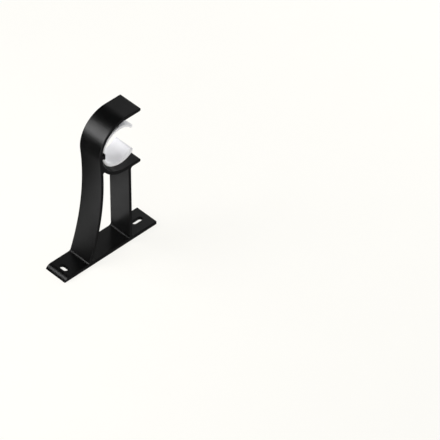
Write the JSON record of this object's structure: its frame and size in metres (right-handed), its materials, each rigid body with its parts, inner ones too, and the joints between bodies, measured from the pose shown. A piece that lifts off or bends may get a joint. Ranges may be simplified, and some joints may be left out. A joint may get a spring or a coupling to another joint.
{
  "type": "curtain pole bracket",
  "caption": "Black extruded wall bracket with a slotted flat base, a bowed leg, an upright leg and a U-shaped mouth, holding a white plastic C-clip that grips a curtain pole.",
  "frame": {"origin": "middle of the base's flat underside, which is the face that goes against the wall", "axes": "+X along the base towards the open side of the mouth, +Y across the width of the extrusion, +Z away from the mounting face"},
  "size_m": [0.087, 0.0202, 0.1163],
  "materials": {
    "black_aluminium": "extruded aluminium with a satin black coating",
    "white_plastic": "moulded white plastic with a soft sheen"
  },
  "bodies": {
    "root": {"bracket_body": "black_aluminium", "pole_clip": "white_plastic"}
  },
  "joints": []
}
